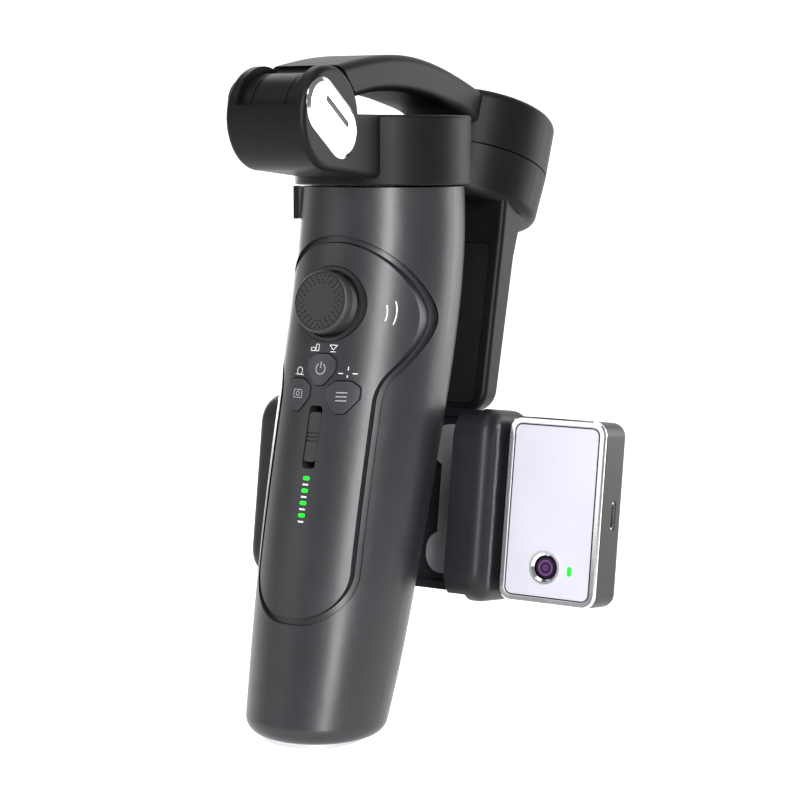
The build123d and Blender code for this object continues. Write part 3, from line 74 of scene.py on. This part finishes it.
def grain(material, shader, scale, strength, distance):
    """Fine moulded grain as bump, on object coordinates."""
    coords = add_node(material, "ShaderNodeTexCoord")
    texture = add_node(material, "ShaderNodeTexNoise", Scale=scale, Detail=3.0)
    link(material, coords.outputs["Object"], texture.inputs["Vector"])
    bump = add_node(material, "ShaderNodeBump", Strength=strength, Distance=distance)
    link(material, texture.outputs["Fac"], bump.inputs["Height"])
    link(material, bump.outputs["Normal"], shader.inputs["Normal"])
    return coords


def vary_roughness(material, shader, noise, low, high):
    """Roughness that follows a noise between two values."""
    spread = add_node(material, "ShaderNodeMapRange", To_Min=low, To_Max=high)
    link(material, noise.outputs["Fac"], spread.inputs["Value"])
    link(material, spread.outputs["Result"], shader.inputs["Roughness"])


def mottled(material, shader, coords, dark, light, rough_low, rough_high, scale):
    """Slight variation of colour and gloss, as on handled plastic."""
    noise = add_node(material, "ShaderNodeTexNoise", Scale=scale, Detail=4.0, Roughness=0.6)
    link(material, coords.outputs["Object"], noise.inputs["Vector"])
    ramp = add_node(material, "ShaderNodeValToRGB")
    ramp.color_ramp.elements[0].position = 0.35
    ramp.color_ramp.elements[0].color = (*dark, 1)
    ramp.color_ramp.elements[1].position = 0.7
    ramp.color_ramp.elements[1].color = (*light, 1)
    link(material, noise.outputs["Fac"], ramp.inputs["Fac"])
    link(material, ramp.outputs["Color"], shader.inputs["Base Color"])
    vary_roughness(material, shader, noise, rough_low, rough_high)


def plastic(name, dark, light, rough, grain_scale=5200.0, grain_strength=0.12, specular=0.5,
            metallic=0.0):
    """Satin moulded or painted plastic with fine spark-eroded grain."""
    material, shader = new_material(name)
    coords = grain(material, shader, grain_scale, grain_strength, 0.04 * MM)
    mottled(material, shader, coords, dark, light, rough - 0.04, rough + 0.05, 70.0)
    shader.inputs["Specular IOR Level"].default_value = specular
    shader.inputs["Metallic"].default_value = metallic
    return material


def metal(name, colour, rough, brushed=0.0):
    """Polished or brushed metal."""
    material, shader = new_material(name)
    shader.inputs["Base Color"].default_value = (*colour, 1)
    shader.inputs["Metallic"].default_value = 1.0
    coords = grain(material, shader, 900.0, 0.03 + brushed, 0.02 * MM)
    noise = add_node(material, "ShaderNodeTexNoise", Scale=240.0, Detail=3.0)
    link(material, coords.outputs["Object"], noise.inputs["Vector"])
    vary_roughness(material, shader, noise, rough * 0.8, rough * 1.25)
    return material


def glowing(name, colour, strength):
    """A lit lamp, or a printed mark given a faint painted glow so that it reads the same from
    every side.
    """
    material, shader = new_material(name)
    shader.inputs["Base Color"].default_value = (*colour, 1)
    shader.inputs["Roughness"].default_value = 0.35
    shader.inputs["Emission Color"].default_value = (*colour, 1)
    shader.inputs["Emission Strength"].default_value = strength
    return material


GRIP = plastic("grip_gunmetal", (0.019, 0.019, 0.022), (0.023, 0.023, 0.027), 0.34,
               specular=0.55, metallic=0.2)
PANEL = plastic("panel_gunmetal", (0.021, 0.021, 0.024), (0.025, 0.025, 0.029), 0.36,
                specular=0.55, metallic=0.2)
HEAD = plastic("head_black", (0.0035, 0.0035, 0.0042), (0.0050, 0.0050, 0.0060), 0.42,
               specular=0.14)
COVER = plastic("arm_cover_black", (0.006, 0.006, 0.007), (0.009, 0.009, 0.010), 0.38,
                specular=0.22)
CLAMP = plastic("clamp_black", (0.007, 0.007, 0.009), (0.010, 0.010, 0.013), 0.42, specular=0.25)
JAW = plastic("jaw_charcoal", (0.016, 0.016, 0.021), (0.021, 0.021, 0.027), 0.46, specular=0.3)
MODULE = plastic("module_black", (0.005, 0.005, 0.006), (0.008, 0.008, 0.009), 0.36, specular=0.25)
RUBBER = plastic("stick_rubber", (0.014, 0.014, 0.016), (0.020, 0.020, 0.022), 0.55,
                 grain_scale=3000.0, grain_strength=0.2)
PAD = plastic("pad_rubber", (0.13, 0.13, 0.14), (0.17, 0.17, 0.18), 0.62, grain_scale=2600.0)
KEY = plastic("key_satin", (0.026, 0.026, 0.030), (0.034, 0.034, 0.038), 0.34)
DISH = plastic("dish_black", (0.010, 0.010, 0.012), (0.014, 0.014, 0.016), 0.42)
FACE = plastic("module_silver_face", (0.47, 0.47, 0.53), (0.49, 0.49, 0.55), 0.5,
               grain_scale=3800.0, grain_strength=0.03, metallic=0.1)
CHROME = metal("chrome", (0.93, 0.93, 0.95), 0.12)
STEEL = metal("steel", (0.62, 0.62, 0.65), 0.26, brushed=0.1)
COPPER = metal("coil_copper", (0.62, 0.28, 0.13), 0.35)
LAMP = glowing("lamp_green", (0.0, 0.85, 0.01), 0.8)
# The two print finishes are print colour with a little emission: a painted glow on marks that are
# no lamp.
GLOWING_PRINT = glowing("print_white_painted_glow", (0.66, 0.66, 0.68), 0.10)
SOFT_GLOWING_PRINT = glowing("print_grey_painted_glow", (0.30, 0.30, 0.32), 0.03)
BOARD = plastic("board_green", (0.01, 0.10, 0.05), (0.015, 0.14, 0.07), 0.4)
CELL = plastic("cell_wrap", (0.05, 0.16, 0.34), (0.06, 0.19, 0.40), 0.3)

def coated_lens():
    """Dark coated glass with rings centred on the lens: dark rings for the elements behind it, and
    bright purple rings that are painted reflections off their coatings.
    """
    material, shader = new_material("lens_coated")
    low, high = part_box("lens_glass")
    centre = [(a + b) / 2 for a, b in zip(low, high)]
    radius = (high[0] - low[0]) / 2
    coords = add_node(material, "ShaderNodeTexCoord")
    place = add_node(material, "ShaderNodeVectorMath")
    place.operation = "DISTANCE"
    place.inputs[1].default_value = centre
    link(material, coords.outputs["Object"], place.inputs[0])
    spread = add_node(material, "ShaderNodeMapRange")
    spread.inputs["From Max"].default_value = radius
    link(material, place.outputs["Value"], spread.inputs["Value"])
    rings = add_node(material, "ShaderNodeValToRGB")
    ramp = rings.color_ramp
    ramp.elements[0].position = 0.0
    ramp.elements[0].color = (0.002, 0.001, 0.004, 1)
    ramp.elements[1].position = 1.0
    ramp.elements[1].color = (0.012, 0.006, 0.02, 1)
    # The bright purple stops at 0.32 and 0.66 are painted reflections. The dark stops stand for
    # the elements behind the glass.
    for position, colour in (
            (0.26, (0.004, 0.002, 0.008)), (0.32, (0.10, 0.03, 0.14)),
            (0.40, (0.012, 0.004, 0.02)), (0.58, (0.035, 0.012, 0.055)),
            (0.66, (0.16, 0.06, 0.22)), (0.72, (0.015, 0.006, 0.025))):
        ramp.elements.new(position).color = (*colour, 1)
    link(material, spread.outputs["Result"], rings.inputs["Fac"])
    link(material, rings.outputs["Color"], shader.inputs["Base Color"])
    shader.inputs["Roughness"].default_value = 0.05
    shader.inputs["Coat Weight"].default_value = 1.0
    shader.inputs["Coat Roughness"].default_value = 0.02
    return material


LENS = coated_lens()

FINISH = {
    "grip_plastic": GRIP, "panel_plastic": PANEL, "stick_rubber": RUBBER, "bezel_plastic": KEY,
    "head_plastic": HEAD, "clamp_plastic": CLAMP, "pad_rubber": PAD, "module_plastic": MODULE,
    "chrome": CHROME, "white_face": FACE, "lens": LENS, "lamp_green": LAMP, "steel": STEEL,
    "copper": COPPER, "board": BOARD, "cell_wrap": CELL,
}
OWN_FINISH = {"arm_cover": COVER, "moving_jaw": JAW, "power_button": KEY, "photo_button": KEY,
              "mode_button": KEY, "zoom_slider": PANEL,
              "joystick_bezel": DISH, "hinge_cap": HEAD}

for part in frame["record"]["subparts"]:
    node = NODES[part["node"]]
    finish = OWN_FINISH.get(part["node"], FINISH[part["material_slot"]])
    node.data.materials.clear()
    node.data.materials.append(finish)


# ---------------------------------------------------------------- printed marks
PRINT_RISE = 0.05 * MM
PRINT_SINK = 0.06 * MM
VIEW_START = -0.3
SHORTEST_STEP = 0.02
SURFACES = {}


def surface(name):
    """Search tree of a CAD node's faces, made once."""
    if name not in SURFACES:
        made = bmesh.new()
        made.from_mesh(NODES[name].data)
        SURFACES[name] = BVHTree.FromBMesh(made)
        made.free()
    return SURFACES[name]


def on_skin(name, x, z):
    """Point on a node's front and its outward normal, seen along +Y; x and z in millimetres."""
    start = Vector((x * MM, VIEW_START, z * MM))
    point, normal, _, _ = surface(name).ray_cast(start, Vector((0, 1, 0)))
    if point is None:
        raise ValueError(f"{name} has no front at {x}, {z}")
    return point, normal


def arc(x, z, radius, start, end, steps=24):
    """Points of an arc in the front view; degrees run from +X towards +Z."""
    turns = [math.radians(start + (end - start) * i / steps) for i in range(steps + 1)]
    return [(x + radius * math.cos(t), z + radius * math.sin(t)) for t in turns]


def outline(x, z, width, height, radius=0.0, steps=6):
    """Closed rounded rectangle in the front view."""
    corners = ((1, 1, 0), (-1, 1, 90), (-1, -1, 180), (1, -1, 270))
    points = []
    for sx, sz, turn in corners:
        cx = x + sx * (width / 2 - radius)
        cz = z + sz * (height / 2 - radius)
        points += arc(cx, cz, radius, turn, turn + 90, steps)
    return points + points[:1]


def finer(points, step=0.5):
    """The same path with extra points on long runs, so that it follows a curved skin."""
    out = [points[0]]
    for (x0, z0), (x1, z1) in zip(points, points[1:]):
        count = max(1, math.ceil(math.hypot(x1 - x0, z1 - z0) / step))
        out += [(x0 + (x1 - x0) * i / count, z0 + (z1 - z0) * i / count)
                for i in range(1, count + 1)]
    return out


def ribbon(mesh, node, points, width):
    """Adds a closed, slightly raised ribbon that follows a path on a node's skin."""
    points = [p for i, p in enumerate(points)
              if i == 0 or math.dist(p, points[i - 1]) > SHORTEST_STEP]
    rings = []
    for i, (x, z) in enumerate(points):
        x0, z0 = points[max(i - 1, 0)]
        x1, z1 = points[min(i + 1, len(points) - 1)]
        run = math.hypot(x1 - x0, z1 - z0)
        nx, nz = -(z1 - z0) / run * width / 2, (x1 - x0) / run * width / 2
        left, left_normal = on_skin(node, x + nx, z + nz)
        right, right_normal = on_skin(node, x - nx, z - nz)
        rings.append([mesh.verts.new(v) for v in (
            left + left_normal * PRINT_RISE, right + right_normal * PRINT_RISE,
            right - right_normal * PRINT_SINK, left - left_normal * PRINT_SINK)])
    for a, b in zip(rings, rings[1:]):
        for k in range(4):
            mesh.faces.new((a[k], a[(k + 1) % 4], b[(k + 1) % 4], b[k]))
    mesh.faces.new(reversed(rings[0]))
    mesh.faces.new(rings[-1])


def finished(name, mesh, body, finish):
    """Turns a closed bmesh into a piece that rides on a body."""
    bmesh.ops.recalc_face_normals(mesh, faces=mesh.faces)
    data = bpy.data.meshes.new(name)
    mesh.to_mesh(data)
    mesh.free()
    data.materials.append(finish)
    piece = bpy.data.objects.new(name, data)
    bpy.context.scene.collection.objects.link(piece)
    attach(piece, body)


def printed(name, node, paths, body, finish):
    """One piece of print made of several paths, each (points, line width in mm)."""
    mesh = bmesh.new()
    for points, width in paths:
        ribbon(mesh, node, finer(points), width)
    finished(name, mesh, body, finish)


def middle(node):
    """Centre of a node's box in the front view, in millimetres."""
    low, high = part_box(node)
    return (low[0] + high[0]) / 2 / MM, (low[2] + high[2]) / 2 / MM


LINE = 0.22
stick_x, stick_z = middle("joystick_bezel")
power_x, power_z = middle("power_button")
photo_x, photo_z = middle("photo_button")
mode_x, mode_z = middle("mode_button")
lamp_low, lamp_high = (corner[2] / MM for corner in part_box("status_lamps"))

printed("power_mark", "power_button", [
    (arc(power_x, power_z + 0.2, 1.35, 120, 420), LINE),
    ([(power_x, power_z + 0.4), (power_x, power_z + 2.0)], LINE),
], "power_button", SOFT_GLOWING_PRINT)

printed("photo_mark", "photo_button", [
    (outline(photo_x + 0.3, photo_z + 0.3, 2.9, 2.0, 0.3), LINE * 0.8),
    (arc(photo_x + 0.3, photo_z + 0.3, 0.55, 0, 360, 16), LINE * 0.8),
], "photo_button", SOFT_GLOWING_PRINT)

printed("mode_mark", "mode_button", [
    ([(mode_x - 1.4, mode_z + dz), (mode_x + 1.4, mode_z + dz)], LINE)
    for dz in (-0.8, 0.2, 1.2)
], "mode_button", SOFT_GLOWING_PRINT)

hint_z = power_z + 5.35
printed("panel_marks", "control_panel", [
    # Two curved strokes beside the joystick.
    (arc(stick_x + 6.1, stick_z - 1.7, 8.2, -14, 14), 0.22),
    (arc(stick_x + 5.5, stick_z - 1.7, 10.6, -16, 16), 0.22),
    # Upright and level frames above the power key.
    (outline(-2.0, hint_z, 0.9, 1.7, 0.2), LINE * 0.7),
    (outline(-3.4, hint_z - 0.45, 1.3, 0.8, 0.2), LINE * 0.7),
    ([(1.6, hint_z + 0.8), (3.8, hint_z + 0.8), (2.7, hint_z - 0.4), (1.6, hint_z + 0.8)],
     LINE * 0.7),
    ([(2.0, hint_z - 0.85), (3.4, hint_z - 0.85)], LINE * 0.7),
    # Small ring over the camera key, and four ticks over the mode key.
    (arc(photo_x - 0.4, photo_z + 5.9, 0.95, 0, 360, 16), LINE * 0.7),
    ([(photo_x - 1.9, photo_z + 5.0), (photo_x + 1.1, photo_z + 5.0)], LINE * 0.7),
    ([(mode_x - 1.8, mode_z + 5.9), (mode_x - 0.6, mode_z + 5.9)], LINE),
    ([(mode_x + 1.8, mode_z + 5.9), (mode_x + 3.0, mode_z + 5.9)], LINE),
    ([(mode_x + 0.6, mode_z + 6.7), (mode_x + 0.6, mode_z + 7.6)], LINE),
    ([(mode_x + 0.6, mode_z + 4.9), (mode_x + 0.6, mode_z + 5.5)], LINE),
] + [
    # A short bar under each lamp.
    ([(-0.8, z), (0.8, z)], 0.4)
    for z in (lamp_high - 2.0 - i * (lamp_high - lamp_low - 0.9) / 3 for i in range(4))
], "grip", GLOWING_PRINT)

face_low, face_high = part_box("module_face")
face_x, face_z = middle("module_face")
face_w = (face_high[0] - face_low[0]) / MM
face_h = (face_high[2] - face_low[2]) / MM
INK = plastic("gasket_black", (0.004, 0.004, 0.004), (0.006, 0.006, 0.006), 0.4)
printed("face_gasket", "module_face", [
    (outline(face_x, face_z, face_w - 0.7, face_h - 0.9, 1.9), 0.35),
], "camera", INK)


# The slot engraved in the hinge badge: its size, its shift from the badge's centre and its lean.
BADGE_SLOT_L, BADGE_SLOT_W, BADGE_SLOT_SHIFT = 12.0 * MM, 1.5 * MM, 1.6 * MM
BADGE_LEAN = math.radians(-35.0)
# Insets from the slot's wall and depths below the badge's face, from the bottom of the fill up.
FILL_RINGS = ((0.05 * MM, 0.55 * MM), (0.05 * MM, 0.22 * MM), (0.2 * MM, 0.12 * MM))
FILL_SIDES = 24


def badge_fill():
    """The dark strip that fills the slot engraved in the hinge badge."""
    low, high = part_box("hinge_badge")
    centre_y = (low[1] + high[1]) / 2 + BADGE_SLOT_SHIFT
    centre_z = (low[2] + high[2]) / 2 + BADGE_SLOT_SHIFT
    half_run = (BADGE_SLOT_L - BADGE_SLOT_W) / 2
    mesh = bmesh.new()
    rings = []
    for inset, depth in FILL_RINGS:
        radius = BADGE_SLOT_W / 2 - inset
        ring = []
        for k in range(FILL_SIDES):
            turn = math.radians((k + 0.5) * 360 / FILL_SIDES)
            run = math.copysign(half_run, math.cos(turn)) + radius * math.cos(turn)
            rise = radius * math.sin(turn)
            ring.append(mesh.verts.new((
                high[0] - depth,
                centre_y + run * math.cos(BADGE_LEAN) - rise * math.sin(BADGE_LEAN),
                centre_z + run * math.sin(BADGE_LEAN) + rise * math.cos(BADGE_LEAN))))
        rings.append(ring)
    for a, b in zip(rings, rings[1:]):
        for k in range(FILL_SIDES):
            after = (k + 1) % FILL_SIDES
            mesh.faces.new((a[k], a[after], b[after], b[k]))
    mesh.faces.new(reversed(rings[0]))
    mesh.faces.new(rings[-1])
    finished("hinge_badge_fill", mesh, "pan", INK)


badge_fill()


# ---------------------------------------------------------------- camera
AIM = Vector((3.86, 36.6, 83.2)) * MM
EYE = Vector((290.1, -439.8, 151.4)) * MM
camera_data = bpy.data.cameras.new("photo_camera")
camera_data.lens = 94.5
camera_data.sensor_width = 36.0
camera = bpy.data.objects.new("photo_camera", camera_data)
camera.location = EYE
camera.rotation_euler = (AIM - EYE).to_track_quat("-Z", "Y").to_euler()
bpy.context.scene.collection.objects.link(camera)
bpy.context.scene.camera = camera


# ---------------------------------------------------------------- floor and light
def backdrop():
    """A pale floor that curves up into a wall behind the object."""
    mesh = bpy.data.meshes.new("backdrop")
    sweep = bmesh.new()
    bend, half, near, reach, height, steps = 0.5, 3.0, -2.5, 1.6, 3.0, 12
    profile = [(near, 0.0), (reach, 0.0)]
    for step in range(1, steps + 1):
        turn = step / steps * math.pi / 2
        profile.append((reach + bend * math.sin(turn), bend * (1 - math.cos(turn))))
    profile.append((reach + bend, height))
    rows = []
    for y, z in profile:
        rows.append([sweep.verts.new((x, y, z)) for x in (-half, half)])
    for (a, b), (c, d) in zip(rows, rows[1:]):
        sweep.faces.new((a, b, d, c))
    sweep.to_mesh(mesh)
    sweep.free()
    for polygon in mesh.polygons:
        polygon.use_smooth = True
    floor = bpy.data.objects.new("backdrop", mesh)
    bpy.context.scene.collection.objects.link(floor)
    turn_to_camera = math.atan2(EYE.x, -EYE.y)
    floor.rotation_euler = (0, 0, turn_to_camera)
    material, shader = new_material("backdrop_white")
    shader.inputs["Base Color"].default_value = (0.5, 0.5, 0.5, 1)
    shader.inputs["Roughness"].default_value = 0.9
    shader.inputs["Emission Color"].default_value = (1, 1, 1, 1)
    shader.inputs["Emission Strength"].default_value = 0.95
    mesh.materials.append(material)


backdrop()
LIT_POINT = Vector((0.0, 0.035, 0.09))


def softbox(name, azimuth, elevation, distance, width, height, power):
    """An area light aimed at the middle of the object; azimuth 0 is in front, 90 to the right."""
    data = bpy.data.lights.new(name, "AREA")
    data.shape = "RECTANGLE"
    data.size = width
    data.size_y = height
    data.energy = power
    light = bpy.data.objects.new(name, data)
    a, e = math.radians(azimuth), math.radians(elevation)
    light.location = LIT_POINT + distance * Vector((
        math.sin(a) * math.cos(e), -math.cos(a) * math.cos(e), math.sin(e)))
    light.rotation_euler = (LIT_POINT - light.location).to_track_quat("-Z", "Y").to_euler()
    bpy.context.scene.collection.objects.link(light)


# Name, azimuth, elevation, distance, width, height and power.
softbox("key", -35, 55, 0.9, 0.35, 0.5, 1.2)
softbox("strip_front", 41, 14, 0.9, 0.12, 1.3, 17.0)
softbox("low_left", -36, 12, 0.9, 0.5, 0.35, 0.7)
softbox("rim_left", -128, 8, 0.75, 0.18, 0.9, 3.4)
softbox("side_right", 146, 4, 0.8, 0.45, 0.5, 2.6)
softbox("top", 20, 86, 0.9, 0.6, 0.6, 1.6)

world = bpy.data.worlds.new("studio")
bpy.context.scene.world = world
world.use_nodes = True
bpy.context.scene.view_settings.view_transform = "Standard"
background = world.node_tree.nodes["Background"]
background.inputs["Color"].default_value = (1, 1, 1, 1)
# White where it is looked at directly, and a soft fill for the object.
seen = world.node_tree.nodes.new("ShaderNodeLightPath")
strength = world.node_tree.nodes.new("ShaderNodeMath")
strength.operation = "MULTIPLY_ADD"
FILL_STRENGTH = 0.2
strength.inputs[1].default_value = 1.0 - FILL_STRENGTH
strength.inputs[2].default_value = FILL_STRENGTH
world.node_tree.links.new(seen.outputs["Is Camera Ray"], strength.inputs[0])
world.node_tree.links.new(strength.outputs["Value"], background.inputs["Strength"])
